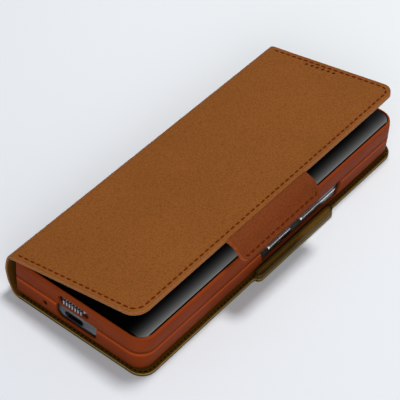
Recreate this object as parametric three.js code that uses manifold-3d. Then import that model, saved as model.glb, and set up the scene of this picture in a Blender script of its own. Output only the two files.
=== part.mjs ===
// A book-style leather wallet case on a closed folding phone, lying on its back panel, flap lifted.
// Millimetres. +X runs from the spine to the clasp, +Y from the charging end to the far end, +Z up.
// The origin is on the back panel's outer face, under the middle of the phone.
import * as THREE from "three";
import Module from "manifold-3d";
import { mergeVertices } from "three/addons/utils/BufferGeometryUtils.js";

const wasm = await Module();
wasm.setup();
const degrees = Math.PI / 180;

// ---- driving dimensions ----
const fit = 0.3; // between a shell and what it holds, and round every part in a pocket
const seam = 0.1; // between layers that are glued face to face

const phoneLength = 160.8;
const phoneWidth = 62.4;
const halfThickness = 7.9; // one half of the folding phone
const foldGap = 0.6; // between the closed halves
const phoneCorner = 5.8;
const glassThickness = 0.7;
const frameWall = 1.8;
const hingeCoverReach = 6.2; // above and below the fold axis
const hingeCoverDepth = 2.8; // behind the fold axis
const hingeCoverRadius = 15.4;
const hingeCoverSheet = 0.7;
const bodyInset = 0.3; // battery and board block inside its frame
const hingeClearance = 7.7; // radius that the halves leave free round the fold axis

const shellWall = 1.1;
const shellFloor = 1.1;
const hingeBar = 4.65; // strip of the front shell beside the hinge

const leather = 0.8;
const lining = 0.6;
const flapLeather = 0.7;
const flapBoard = 0.3;
const flapLining = 0.5;
const pocketSheet = 0.5;
const panelOverhang = 1.1; // back panel past the shell at the clasp side
const endOverhang = 0.3; // cover past the shell at both ends
const coverCorner = 6.5;

const curlRadius = 2.6; // back panel turning up into the spine
const curlSweep = 50 * degrees;
const curlEnd = 56 * degrees; // where the back crease lies on that turn
const creaseRadius = 1.95; // spine turning over into the flap
const creaseLift = 1.0; // middle of the flap above the front shell at its crease
const spineBulge = 2.0;

const flapAngle = 11.4 * degrees; // flap lifted off the phone as it lies
const flapShort = 1.5; // closed flap stops this far short of the shell's side
const pocketLength = 94;
const pocketFromCrease = 13;
const pocketFromEdge = 3;
const soundHoleRadius = 0.65;
const soundHolePitch = 2.8;
const soundHoleCount = 6;
const soundHoleFirst = 19.8; // from the crease
const soundHoleFromEnd = 3.9;

const tabLength = 49;
const tabMiddle = -6.2; // along Y
const tabReach = 9.2; // past its bend
const tabCorner = 5;
const tabLeather = 0.7;
const tabLining = 1.0;
const tabTuck = 5.6; // sewn under the edge of the flap
const tabDrop = 2.4; // bend line below the outer face of the flap
const tabAngle = 57.4 * degrees; // tab against the flap as it lies
const magnetSize = 6.0;
const magnetLength = 14;
const magnetThickness = 0.6;
const magnetPitch = 16.5;

const backTabLength = 50;
const backTabMiddle = 9.8;
const backTabReach = 2.4; // past the edge of the back panel
const backTabCorner = 3;
const keeperWidth = 1.6;
const keeperLength = 34;

const powerMiddle = 3.4; // along Y
const powerLength = 15;
const powerHeight = 2.6;
const volumeMiddle = 29.3;
const volumeLength = 24;
const volumeHeight = 1.9;
const keyProud = 0.35;
const keyDepth = 1.75;
const keySlot = 0.25; // free all round a key
const keyCutBefore = 7.7; // side cut-out before the power key
const keyCutAfter = 2.9; // and after the volume key
const keyCutSlope = 5;

const portMiddle = -2.2; // along X
const portWidth = 8.9;
const portHeight = 3.1;
const portDepth = 6;
const portWall = 0.3;
const portNotchMiddle = -0.1;
const portNotchWidth = 20;
const portNotchDepth = 6.4; // below the parting line
const micFromPort = -13.6;
const micRadius = 0.9;
const speakerMiddle = -1.4;
const speakerCutWidth = 15.2;
const speakerCutHeight = 3.8;
const grilleWidth = 11.4;
const grilleHeight = 2.3;
const grilleThickness = 0.6;
const grilleSlots = 7;
const grilleSlotWidth = 0.75;

const cameraX = 19.4;
const cameraY = 52;
const cameraWidth = 17;
const cameraLength = 44;
const cameraCorner = 6;
const cameraWindow = 1.5; // window edge past the camera island all round
const cameraBottom = 1.4; // height of the island above the ground
const lensRadius = 4.6;
const lensPitch = 13;
const lensProud = 0.2;
const flashRadius = 1.6;

// ---- derived places ----
const coverBase = leather + seam + lining;
const coverMiddle = coverBase / 2;
const shellBottom = coverBase + seam;
const shellInside = shellBottom + shellFloor;
const phoneBottom = shellInside + fit;
const rearTop = phoneBottom + halfThickness;
const foldZ = rearTop + foldGap / 2;
const frontBottom = foldZ + foldGap / 2;
const phoneTop = frontBottom + halfThickness;
const shellTop = phoneTop + seam;

const phoneHalf = phoneLength / 2;
const phoneRight = phoneWidth / 2;
const foldX = -phoneRight;
const shellHalf = phoneHalf + fit + shellWall;
const shellRight = phoneRight + fit + shellWall;
const shellLeft = foldX + 2 * fit;
const barRight = shellLeft + hingeBar;
const coverHalf = shellHalf + endOverhang;
const panelRight = shellRight + panelOverhang;
const hingeHalf = phoneHalf - frameWall;

const curlX = shellLeft + seam;
const curlMiddle = curlRadius - coverMiddle;
const backCrease = new THREE.Vector2(
  curlX - curlMiddle * Math.sin(curlEnd),
  curlRadius - curlMiddle * Math.cos(curlEnd),
);
const creaseCentre = new THREE.Vector2(foldX - 2 * fit, shellTop + creaseLift - creaseRadius);
const flapCrease = new THREE.Vector2(creaseCentre.x, creaseCentre.y + creaseRadius + coverMiddle);
const spineTop = new THREE.Vector2(creaseCentre.x - creaseRadius, creaseCentre.y);
const flapWidth = shellRight - flapShort - flapCrease.x;
const tabThickness = tabLeather + seam + tabLining;
const tabBend = shellRight + 2 * seam + tabThickness / 2 - flapCrease.x;

// ---- shape helpers ----

// Corner points of a rectangle with round corners, drawn in by inset. An open left side stays put.
function outline(rect, inset = 0) {
  const left = rect.left + (rect.openLeft ? 0 : inset);
  const right = rect.right - inset;
  const half = rect.half - inset;
  const middle = rect.middle ?? 0;
  const leftRadius = Math.max(rect.leftRadius - inset, 0.1);
  const room = right - left - leftRadius - 0.1;
  const rightRadius = Math.max(Math.min(rect.rightRadius - inset, room), 0.1);
  const points = [];
  const corner = (x, y, radius, start) => {
    const steps = radius > 2 ? 8 : 3;
    for (let i = 0; i <= steps; i++) {
      const turn = start + (i / steps) * 90 * degrees;
      points.push(new THREE.Vector2(x + radius * Math.cos(turn), middle + y + radius * Math.sin(turn)));
    }
  };
  corner(right - rightRadius, half - rightRadius, rightRadius, 0);
  corner(left + leftRadius, half - leftRadius, leftRadius, 90 * degrees);
  corner(left + leftRadius, leftRadius - half, leftRadius, 180 * degrees);
  corner(right - rightRadius, rightRadius - half, rightRadius, 270 * degrees);
  return points;
}

// A closed solid through outlines of one point count, from the lowest to the highest.
function loft(levels) {
  const count = levels[0].points.length;
  const positions = [];
  for (const { z, points } of levels) {
    for (const p of points) positions.push(p.x, p.y, z);
  }
  const index = [];
  for (let level = 0; level + 1 < levels.length; level++) {
    for (let i = 0; i < count; i++) {
      const a = level * count + i;
      const b = level * count + ((i + 1) % count);
      index.push(a, b, b + count, a, b + count, a + count);
    }
  }
  const last = (levels.length - 1) * count;
  for (const [a, b, c] of THREE.ShapeUtils.triangulateShape(levels[0].points, [])) {
    index.push(c, b, a);
  }
  for (const [a, b, c] of THREE.ShapeUtils.triangulateShape(levels.at(-1).points, [])) {
    index.push(last + a, last + b, last + c);
  }
  const geometry = new THREE.BufferGeometry();
  geometry.setAttribute("position", new THREE.Float32BufferAttribute(positions, 3));
  geometry.setIndex(index);
  return geometry;
}

// A round-cornered body whose sides follow a profile of [height, inset] pairs.
const rounded = (rect, profile) =>
  loft(profile.map(([z, inset]) => ({ z, points: outline(rect, inset) })));

const plate = (rect, bottom, top) => rounded(rect, [[bottom, 0], [top, 0]]);

// A profile in X and Z, drawn out along Y.
function alongY(shape, from, to) {
  const geometry = new THREE.ExtrudeGeometry(shape, {
    depth: to - from,
    bevelEnabled: false,
    curveSegments: 10,
  });
  return geometry.rotateX(90 * degrees).translate(0, to, 0);
}

// A profile in Y and Z, drawn out along X.
function alongX(shape, from, to) {
  const geometry = new THREE.ExtrudeGeometry(shape, {
    depth: to - from,
    bevelEnabled: false,
    curveSegments: 6,
  });
  return geometry.rotateY(90 * degrees).rotateX(90 * degrees).translate(from, 0, 0);
}

// Part of a ring: the section of a bent sheet.
function bend(centre, inner, outer, from, to) {
  const clockwise = to < from;
  const shape = new THREE.Shape();
  shape.absarc(centre.x, centre.y, outer, from, to, clockwise);
  shape.absarc(centre.x, centre.y, inner, to, from, !clockwise);
  return shape;
}

// The section of a sheet of one thickness folded along straight legs.
function folded(points, thickness) {
  const sides = [[], []];
  points.forEach((p, i) => {
    const before = points[Math.max(i - 1, 0)];
    const after = points[Math.min(i + 1, points.length - 1)];
    const run = after.clone().sub(before).normalize();
    const across = new THREE.Vector2(-run.y, run.x).multiplyScalar(thickness / 2);
    sides[0].push(p.clone().add(across));
    sides[1].unshift(p.clone().sub(across));
  });
  return new THREE.Shape([...sides[0], ...sides[1]]);
}

// A slot with round ends, as a shape centred on a point.
function slot(x, y, width, height) {
  const radius = Math.min(width, height) / 2;
  const shape = new THREE.Shape();
  if (width >= height) {
    shape.absarc(x + width / 2 - radius, y, radius, -90 * degrees, 90 * degrees, false);
    shape.absarc(x - width / 2 + radius, y, radius, 90 * degrees, 270 * degrees, false);
  } else {
    shape.absarc(x, y + height / 2 - radius, radius, 0, 180 * degrees, false);
    shape.absarc(x, y - height / 2 + radius, radius, 180 * degrees, 360 * degrees, false);
  }
  return shape;
}

// A geometry as a solid that can be joined and cut.
function solid(geometry) {
  const bare = geometry.clone();
  bare.deleteAttribute("normal");
  bare.deleteAttribute("uv");
  const merged = mergeVertices(bare, 1e-4);
  return new wasm.Manifold(
    new wasm.Mesh({
      numProp: 3,
      vertProperties: merged.attributes.position.array,
      triVerts: new Uint32Array(merged.index.array),
    }),
  );
}

function geometryOf(body) {
  const mesh = body.getMesh();
  const geometry = new THREE.BufferGeometry();
  geometry.setAttribute("position", new THREE.BufferAttribute(mesh.vertProperties, 3));
  geometry.setIndex(new THREE.BufferAttribute(mesh.triVerts, 1));
  geometry.computeVertexNormals();
  return geometry;
}

const cut = (body, cutters) =>
  geometryOf(cutters.reduce((left, cutter) => left.subtract(solid(cutter)), solid(body)));

const join = (...bodies) =>
  geometryOf(bodies.slice(1).reduce((sum, body) => sum.add(solid(body)), solid(bodies[0])));

const common = (body, other) => geometryOf(solid(body).intersect(solid(other)));

function rod(radius, from, to, x, y) {
  const geometry = new THREE.CylinderGeometry(radius, radius, to - from, 24);
  return geometry.rotateX(90 * degrees).translate(x, y, (from + to) / 2);
}

// ---- materials ----
const finish = (color, roughness, metalness = 0) => () =>
  new THREE.MeshStandardMaterial({ color, roughness, metalness });
const tanLeather = finish(0x8a5228, 0.62);
const tabHide = finish(0x7a3b1c, 0.6);
const darkLining = finish(0x32230a, 0.75);
const rustShell = finish(0x73341e, 0.42);
const board = finish(0x4a3a28, 0.9);
const steel = finish(0x8c8f92, 0.35, 1);
const magnet = finish(0x6e7072, 0.4, 1);
const silver = finish(0xb9bbbd, 0.3, 1);
const graphite = finish(0x2a2c2e, 0.5);
const blackGlass = finish(0x050506, 0.08);
const blackPlastic = finish(0x0a0a0b, 0.5);

const root = new THREE.Group();
function add(name, geometry, material, parent = root) {
  const mesh = new THREE.Mesh(geometry, material());
  mesh.name = name;
  parent.add(mesh);
}

// ---- back cover: leather, lining and the steel keeper in the back tab ----
const cameraHole = {
  left: cameraX - cameraWidth / 2 - cameraWindow,
  right: cameraX + cameraWidth / 2 + cameraWindow,
  half: cameraLength / 2 + cameraWindow,
  middle: cameraY,
  leftRadius: cameraCorner + cameraWindow,
  rightRadius: cameraCorner + cameraWindow,
};

// The flat panel, its short tab at the clasp side and its edge turned up towards the spine.
function coverSheet(bottom, top) {
  const panel = {
    left: curlX - 2 * curlRadius,
    right: panelRight,
    half: coverHalf,
    leftRadius: 0.1,
    rightRadius: coverCorner,
  };
  const tab = {
    left: shellRight - panelOverhang,
    right: panelRight + backTabReach,
    half: backTabLength / 2,
    middle: backTabMiddle,
    leftRadius: 0.1,
    rightRadius: backTabCorner,
  };
  const edge = -90 * degrees - curlSweep;
  const section = new THREE.Shape();
  section.moveTo(panelRight + 2 * backTabReach, bottom);
  section.lineTo(curlX, bottom);
  section.absarc(curlX, curlRadius, curlRadius - bottom, -90 * degrees, edge, true);
  section.absarc(curlX, curlRadius, curlRadius - top, edge, -90 * degrees, false);
  section.lineTo(panelRight + 2 * backTabReach, top);
  const sheet = alongY(section, -coverHalf - 1, coverHalf + 1);
  const cutter = join(plate(panel, -1, curlRadius), plate(tab, -1, curlRadius));
  return cut(common(sheet, cutter), [plate(cameraHole, bottom - 1, top + 1)]);
}

const keeperPlace = {
  left: panelRight + backTabReach - fit * 2 - keeperWidth,
  right: panelRight + backTabReach - fit * 2,
  half: keeperLength / 2,
  middle: backTabMiddle,
  leftRadius: 0.3,
  rightRadius: 0.3,
};
const keeperPocket = {
  ...keeperPlace,
  left: keeperPlace.left - fit / 2,
  right: keeperPlace.right + fit / 2,
  half: keeperPlace.half + fit,
};
const backTabTop = coverBase + lining;
const keeperBottom = leather + seam;

add("back_panel_leather", coverSheet(0, leather), tabHide);
add(
  "back_panel_lining",
  cut(coverSheet(keeperBottom, coverBase), [
    plate(keeperPocket, keeperBottom - 1, coverBase + 1),
  ]),
  darkLining,
);
add(
  "back_tab_cap",
  plate(
    {
      left: shellRight + fit,
      right: panelRight + backTabReach - seam,
      half: backTabLength / 2 - seam,
      middle: backTabMiddle,
      leftRadius: 0.3,
      rightRadius: backTabCorner - seam,
    },
    coverBase + seam,
    backTabTop,
  ),
  darkLining,
);
add("back_tab_keeper", plate(keeperPlace, keeperBottom + seam / 2, coverBase), steel);

// ---- shells that hold the two halves of the phone ----
const phoneRect = {
  left: foldX,
  right: phoneRight,
  half: phoneHalf,
  leftRadius: 1,
  rightRadius: phoneCorner,
};
const shellRect = {
  left: shellLeft,
  right: shellRight,
  half: shellHalf,
  leftRadius: 0.6,
  rightRadius: phoneCorner + fit + shellWall,
  openLeft: true,
};
const cavity = {
  left: foldX - shellWall - fit,
  right: phoneRight + fit,
  half: phoneHalf + fit,
  leftRadius: 0.1,
  rightRadius: phoneCorner + fit,
  openLeft: true,
};

// The side cut-out for the keys: open at the parting line, with sloping ends.
function keyCut() {
  const from = powerMiddle - powerLength / 2 - keyCutBefore;
  const to = volumeMiddle + volumeLength / 2 + keyCutAfter;
  const low = shellInside;
  const high = rearTop + fit;
  const shape = new THREE.Shape();
  shape.moveTo(from, high);
  shape.bezierCurveTo(from + keyCutSlope / 2, high, from + keyCutSlope / 3, low, from + keyCutSlope, low);
  shape.lineTo(to - keyCutSlope, low);
  shape.bezierCurveTo(to - keyCutSlope / 3, low, to - keyCutSlope / 2, high, to, high);
  return alongX(shape, phoneRight - 1, shellRight + 1);
}

// The notch for a charging plug: open at the parting line, round at the bottom.
function portNotch() {
  const low = rearTop - portNotchDepth;
  const high = rearTop + fit;
  const half = portNotchWidth / 2;
  const radius = 2.6;
  const shape = new THREE.Shape();
  shape.moveTo(portNotchMiddle + half, high);
  shape.lineTo(portNotchMiddle - half, high);
  shape.absarc(portNotchMiddle - half + radius, low + radius, radius, 180 * degrees, 270 * degrees, false);
  shape.absarc(portNotchMiddle + half - radius, low + radius, radius, 270 * degrees, 360 * degrees, false);
  return alongY(shape, -shellHalf - 1, -phoneHalf);
}

const micHole = new THREE.CylinderGeometry(micRadius, micRadius, 4 * shellWall, 16).translate(
  portMiddle + micFromPort,
  -shellHalf,
  phoneBottom + halfThickness / 2,
);

add(
  "rear_shell",
  cut(
    rounded(shellRect, [
      [shellBottom, 2.2],
      [shellBottom + 0.4, 1.3],
      [shellBottom + 1.6, 0.7],
      [shellBottom + 3.4, 0.25],
      [rearTop, 0],
    ]),
    [
      rounded(cavity, [
        [shellInside, 1.3],
        [shellInside + 0.7, 0.4],
        [shellInside + 1.9, 0],
        [rearTop + 1, 0],
      ]),
      plate(cameraHole, shellBottom - 1, shellInside + 1),
      keyCut(),
      portNotch(),
      micHole,
    ],
  ),
  rustShell,
);

const barBottom = phoneTop - glassThickness;
const speakerZ = (frontBottom + phoneTop - glassThickness) / 2;
add(
  "front_shell",
  cut(
    rounded(shellRect, [
      [frontBottom, 0],
      [shellTop - 1.7, 0.05],
      [shellTop - 0.6, 0.25],
      [shellTop - 0.15, 0.6],
      [shellTop, 0.95],
    ]),
    [
      plate(cavity, frontBottom - 1, barBottom),
      plate({ ...cavity, left: barRight, leftRadius: 2.2, openLeft: false }, barBottom - 1, shellTop + 1),
      alongY(
        slot(speakerMiddle, speakerZ, speakerCutWidth, speakerCutHeight),
        -shellHalf - 1,
        -phoneHalf,
      ),
    ],
  ),
  rustShell,
);

// ---- the phone's rear half ----
const hingeRoom = new THREE.CylinderGeometry(hingeClearance, hingeClearance, 2 * hingeHalf, 48).translate(
  foldX,
  0,
  foldZ,
);
const insideRect = {
  left: foldX + frameWall,
  right: phoneRight - frameWall,
  half: phoneHalf - frameWall,
  leftRadius: 0.5,
  rightRadius: phoneCorner - frameWall,
};
const coreRect = {
  left: foldX + hingeClearance + fit,
  right: insideRect.right - bodyInset,
  half: insideRect.half - bodyInset,
  leftRadius: 0.5,
  rightRadius: phoneCorner - frameWall,
};
const rearMiddle = phoneBottom + halfThickness / 2;
const ringBottom = phoneBottom + glassThickness + seam;
const screenThickness = 0.5;

const keySlotCut = (middle, length, height) =>
  alongX(
    slot(middle, rearMiddle, length + 2 * keySlot, height + 2 * keySlot),
    insideRect.right - 1,
    phoneRight + 1,
  );
const portSlot = (grow, from, to) =>
  alongY(slot(portMiddle, rearMiddle, portWidth + 2 * grow, portHeight + 2 * grow), from, to);

add(
  "phone_rear_frame",
  cut(rounded(phoneRect, [[ringBottom, 0.2], [ringBottom + 0.8, 0], [rearTop, 0]]), [
    plate(insideRect, ringBottom - 1, rearTop + 1),
    hingeRoom,
    keySlotCut(powerMiddle, powerLength, powerHeight),
    keySlotCut(volumeMiddle, volumeLength, volumeHeight),
    portSlot(fit / 2, -phoneHalf - 1, -insideRect.half + 1),
  ]),
  silver,
);
add(
  "phone_rear_body",
  cut(plate(coreRect, ringBottom, rearTop - screenThickness - seam), [
    portSlot(fit / 2, -phoneHalf - 1, -phoneHalf + portDepth + fit),
  ]),
  graphite,
);
add(
  "phone_back_glass",
  rounded({ ...phoneRect, left: foldX + hingeClearance / 2 - fit }, [
    [phoneBottom, 1.4],
    [phoneBottom + 0.3, 0.8],
    [phoneBottom + glassThickness, 0.4],
  ]),
  blackGlass,
);
add("phone_rear_screen", plate(coreRect, rearTop - screenThickness, rearTop), blackGlass);

const cameraRect = {
  left: cameraX - cameraWidth / 2,
  right: cameraX + cameraWidth / 2,
  half: cameraLength / 2,
  middle: cameraY,
  leftRadius: cameraCorner,
  rightRadius: cameraCorner,
};
const islandTop = phoneBottom - seam;
const lensTop = islandTop - 0.5;
const lensPlaces = [-1, 0, 1].map((step) => cameraY + (step + 0.14) * lensPitch - 1.8);
const flashY = cameraY - cameraLength / 2 + 2 * flashRadius + 0.4;
add(
  "phone_camera_island",
  cut(
    rounded(cameraRect, [
      [cameraBottom, 0.3],
      [cameraBottom + 0.3, 0],
      [islandTop, 0],
    ]),
    [
      ...lensPlaces.map((y) => rod(lensRadius + fit / 2, cameraBottom - 1, lensTop + seam, cameraX, y)),
      rod(flashRadius + fit / 2, cameraBottom - 1, lensTop + seam, cameraX + cameraWidth / 4, flashY),
    ],
  ),
  graphite,
);
lensPlaces.forEach((y, i) =>
  add(`phone_camera_lens_${i + 1}`, rod(lensRadius, cameraBottom - lensProud, lensTop, cameraX, y), blackGlass),
);
add(
  "phone_flash",
  rod(flashRadius, cameraBottom, lensTop, cameraX + cameraWidth / 4, flashY),
  finish(0xe8e4d2, 0.3),
);

// The charging socket: a metal cup with a tongue.
const cupEnd = -phoneHalf + portDepth;
add(
  "phone_port_cup",
  cut(portSlot(0, -phoneHalf + seam, cupEnd), [portSlot(-portWall, -phoneHalf - 1, cupEnd - 2 * portWall)]),
  steel,
);
const tongueEnd = cupEnd - 2 * portWall - fit;
add(
  "phone_port_tongue",
  new THREE.BoxGeometry(portWidth - 2.2, tongueEnd + phoneHalf - 1, 0.7).translate(
    portMiddle,
    (tongueEnd - phoneHalf + 1) / 2,
    rearMiddle,
  ),
  blackPlastic,
);

// ---- side keys ----
function key(name, middle, length, height, proud) {
  const outside = phoneRight + proud;
  add(name, alongX(slot(middle, rearMiddle, length, height), outside - keyDepth, outside), silver);
}
key("phone_power_key", powerMiddle, powerLength, powerHeight, keyProud);
key("phone_volume_key", volumeMiddle, volumeLength, volumeHeight, keyProud);

// ---- the phone's front half ----
const ringTop = phoneTop - glassThickness - seam;
add(
  "phone_front_frame",
  cut(plate(phoneRect, frontBottom, ringTop), [
    plate(insideRect, frontBottom - 1, ringTop + 1),
    hingeRoom,
    alongY(
      slot(speakerMiddle, speakerZ, grilleWidth + fit, grilleHeight + fit),
      -phoneHalf - 1,
      -insideRect.half + 1,
    ),
  ]),
  silver,
);
add("phone_front_body", plate(coreRect, frontBottom + screenThickness + seam, ringTop), graphite);
add("phone_front_screen", plate(coreRect, frontBottom, frontBottom + screenThickness), blackGlass);
add(
  "phone_cover_glass",
  rounded({ ...phoneRect, left: barRight + fit, leftRadius: 2 }, [
    [phoneTop - glassThickness, 0.1],
    [phoneTop - 0.35, 0.1],
    [phoneTop - 0.1, 0.3],
    [phoneTop, 0.7],
  ]),
  blackGlass,
);

const slotPitch = (grilleWidth - 0.8) / grilleSlots;
add(
  "phone_speaker_grille",
  cut(
    alongY(
      slot(speakerMiddle, speakerZ, grilleWidth, grilleHeight),
      -phoneHalf + seam,
      -phoneHalf + seam + grilleThickness,
    ),
    Array.from({ length: grilleSlots }, (_, i) =>
      alongY(
        slot(
          speakerMiddle + (i - (grilleSlots - 1) / 2) * slotPitch,
          speakerZ,
          grilleSlotWidth,
          grilleHeight - 0.6,
        ),
        -phoneHalf - 1,
        -phoneHalf + 2,
      ),
    ),
  ),
  steel,
);

// ---- the phone's hinge: its cover and the screen's bend both turn at half the fold ----
const coverTurn = Math.asin(hingeCoverReach / hingeCoverRadius);
const hingeBack = bend(
  new THREE.Vector2(foldX - hingeCoverDepth + hingeCoverRadius, foldZ),
  hingeCoverRadius - hingeCoverSheet,
  hingeCoverRadius,
  180 * degrees - coverTurn,
  180 * degrees + coverTurn,
);
add("phone_hinge_cover", alongY(hingeBack, -hingeHalf + fit, hingeHalf - fit), silver);
add(
  "phone_screen_bend",
  new THREE.BoxGeometry(0.4, 2 * coreRect.half, 2 * (hingeClearance - 0.5)).translate(foldX - 0.3, 0, foldZ),
  blackGlass,
);

// ---- spine: a bowed leather back between the two creases ----
// The circle through two points whose arc stands out by bulge, as centre and radius.
function bow(from, to, bulge) {
  const chord = to.clone().sub(from);
  const radius = chord.lengthSq() / (8 * bulge) + bulge / 2;
  const inward = new THREE.Vector2(chord.y, -chord.x).normalize();
  const centre = from.clone().add(to).multiplyScalar(0.5);
  return { centre: centre.add(inward.multiplyScalar(radius - bulge)), radius };
}
const spine = bow(backCrease, spineTop, spineBulge);
const angleAt = (p) => {
  const turn = Math.atan2(p.y - spine.centre.y, p.x - spine.centre.x);
  return turn < 0 ? turn + 360 * degrees : turn;
};
const creaseRoom = 0.5 / spine.radius;
function spineSheet(from, to) {
  return alongY(
    bend(
      spine.centre,
      spine.radius + from,
      spine.radius + to,
      angleAt(spineTop) + creaseRoom,
      angleAt(backCrease) - creaseRoom,
    ),
    -coverHalf,
    coverHalf,
  );
}
add("spine_leather", spineSheet(coverMiddle - leather, coverMiddle), tanLeather);
add("spine_lining", spineSheet(-coverMiddle, lining - coverMiddle), darkLining);

// The strip that rolls over from the spine into the flap.
const stripRoom = 0.3 / creaseRadius;
add(
  "front_crease_leather",
  alongY(
    bend(
      creaseCentre,
      creaseRadius - coverMiddle,
      creaseRadius + coverMiddle,
      90 * degrees + stripRoom,
      180 * degrees - stripRoom,
    ),
    -coverHalf,
    coverHalf,
  ),
  tanLeather,
);

// ---- flap: leather, board, lining and a card pocket, in the flap's own turned frame ----
const flap = new THREE.Group();
flap.position.set(flapCrease.x, 0, flapCrease.y);
flap.rotation.y = -flapAngle;
root.add(flap);

const boardTop = -flapLeather - seam / 2;
const boardBottom = boardTop - flapBoard;
const flapLiningTop = boardBottom - seam / 2;
const pocketTop = flapLiningTop - flapLining - seam / 2;
const flapRect = {
  left: fit + seam,
  right: flapWidth,
  half: coverHalf,
  leftRadius: 0.8,
  rightRadius: coverCorner,
};
const soundHoles = Array.from({ length: soundHoleCount }, (_, i) =>
  rod(
    soundHoleRadius,
    -3,
    3,
    soundHoleFirst + i * soundHolePitch,
    coverHalf - soundHoleFromEnd,
  ),
);
// The tab is sewn in under the leather, so the board and the lining stop short of it.
const tabNotch = {
  left: flapWidth - tabTuck - fit,
  right: flapWidth + 5,
  half: tabLength / 2 + fit,
  middle: tabMiddle,
  leftRadius: 0.2,
  rightRadius: 0.2,
};

add(
  "flap_leather",
  cut(plate(flapRect, -flapLeather, 0), soundHoles),
  tanLeather,
  flap,
);
add(
  "flap_board",
  cut(
    plate(
      { ...flapRect, left: 3, right: flapWidth - 3, half: coverHalf - 6.5, rightRadius: 4 },
      boardBottom,
      boardTop,
    ),
    [plate(tabNotch, -3, 3)],
  ),
  board,
  flap,
);
add(
  "flap_lining",
  cut(plate(flapRect, flapLiningTop - flapLining, flapLiningTop), [...soundHoles, plate(tabNotch, -3, 3)]),
  darkLining,
  flap,
);
add(
  "card_pocket",
  cut(
    plate(
      {
        left: pocketFromCrease,
        right: flapWidth - pocketFromEdge,
        half: pocketLength / 2,
        leftRadius: 1.5,
        rightRadius: 3,
      },
      pocketTop - pocketSheet,
      pocketTop,
    ),
    [plate(tabNotch, -3, 3), rod(9, -3, 3, pocketFromCrease - 4, 0)],
  ),
  darkLining,
  flap,
);

// ---- clasp tab: its root is sewn to the flap, its end bends and holds the magnets ----
const rootSheet = 0.8;
const rootMiddle = boardTop - rootSheet / 2;
add(
  "clasp_root",
  alongY(
    folded(
      [
        new THREE.Vector2(flapWidth - tabTuck, rootMiddle),
        new THREE.Vector2(flapWidth + seam, rootMiddle),
        new THREE.Vector2(tabBend - 0.4, fit - tabDrop),
      ],
      rootSheet,
    ),
    tabMiddle - tabLength / 2,
    tabMiddle + tabLength / 2,
  ),
  tabHide,
  flap,
);

const tab = new THREE.Group();
tab.position.set(tabBend, 0, -tabDrop);
tab.rotation.y = tabAngle;
flap.add(tab);

const tabRect = {
  left: 0.3,
  right: tabReach,
  half: tabLength / 2,
  middle: tabMiddle,
  leftRadius: 0.5,
  rightRadius: tabCorner,
};
const tabTop = tabThickness / 2;
const tabLiningTop = tabTop - tabLeather - seam;
const magnetTop = tabLiningTop - seam;
const magnetRect = (step, grow) => ({
  left: tabReach / 2 - magnetSize / 2 - grow,
  right: tabReach / 2 + magnetSize / 2 + grow,
  half: magnetLength / 2 + grow,
  middle: tabMiddle + tabLength / 6 + step * (magnetPitch / 2),
  leftRadius: 0.8,
  rightRadius: 0.8,
});
add("clasp_leather", plate(tabRect, tabTop - tabLeather, tabTop), tabHide, tab);
add(
  "clasp_lining",
  cut(
    plate(tabRect, -tabTop, tabLiningTop),
    [-1, 1].map((step) => plate(magnetRect(step, fit / 2), magnetTop - magnetThickness - seam, tabLiningTop + 1)),
  ),
  darkLining,
  tab,
);
for (const [i, step] of [-1, 1].entries()) {
  add(
    `clasp_magnet_${i + 1}`,
    plate(magnetRect(step, 0), magnetTop - magnetThickness, magnetTop),
    magnet,
    tab,
  );
}

export default root;
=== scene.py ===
import math

import bpy
import numpy as np
from mathutils import Matrix, Vector


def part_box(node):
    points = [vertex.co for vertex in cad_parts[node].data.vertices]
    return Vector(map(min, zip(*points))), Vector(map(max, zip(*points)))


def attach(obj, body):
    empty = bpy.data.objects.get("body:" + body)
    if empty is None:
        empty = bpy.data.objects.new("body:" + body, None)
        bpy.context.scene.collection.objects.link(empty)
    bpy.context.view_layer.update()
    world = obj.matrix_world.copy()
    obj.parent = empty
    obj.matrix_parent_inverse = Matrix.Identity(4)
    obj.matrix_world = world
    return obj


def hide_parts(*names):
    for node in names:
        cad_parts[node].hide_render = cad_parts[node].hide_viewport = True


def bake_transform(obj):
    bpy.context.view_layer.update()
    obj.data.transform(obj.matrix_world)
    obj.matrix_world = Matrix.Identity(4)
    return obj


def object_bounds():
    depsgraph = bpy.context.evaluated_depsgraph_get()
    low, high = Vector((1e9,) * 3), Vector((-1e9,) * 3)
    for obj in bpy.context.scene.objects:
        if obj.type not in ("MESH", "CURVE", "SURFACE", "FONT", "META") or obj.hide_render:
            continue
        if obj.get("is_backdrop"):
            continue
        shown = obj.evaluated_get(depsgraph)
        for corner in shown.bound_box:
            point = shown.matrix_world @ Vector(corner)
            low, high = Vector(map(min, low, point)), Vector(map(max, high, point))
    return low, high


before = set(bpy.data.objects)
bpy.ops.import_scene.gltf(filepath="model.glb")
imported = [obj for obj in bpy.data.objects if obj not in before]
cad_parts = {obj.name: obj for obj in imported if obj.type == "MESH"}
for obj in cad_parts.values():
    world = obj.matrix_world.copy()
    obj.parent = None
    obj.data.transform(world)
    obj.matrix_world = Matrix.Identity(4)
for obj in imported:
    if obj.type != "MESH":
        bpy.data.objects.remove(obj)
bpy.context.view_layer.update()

bpy.ops.object.select_all(action="DESELECT")

# ---- Phone, rear half ----
# An anodised aluminium ring round a dark block of battery and boards, with glass on the outside
# and the inner screen on the inside. The ring is milled, bead blasted and dyed.

MM = 0.001


def tint(*channels):
    """Red, green and blue from 0 to 255, as the shader wants them."""
    return tuple(
        c / 255 / 12.92 if c <= 10 else ((c / 255 + 0.055) / 1.055) ** 2.4
        for c in channels
    )


def blank(name, roughness, metallic=0.0):
    """A new material with its node tree and its shader."""
    material = bpy.data.materials.new(name)
    material.use_nodes = True
    tree = material.node_tree
    shader = tree.nodes["Principled BSDF"]
    shader.inputs["Roughness"].default_value = roughness
    shader.inputs["Metallic"].default_value = metallic
    return material, tree, shader


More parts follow.
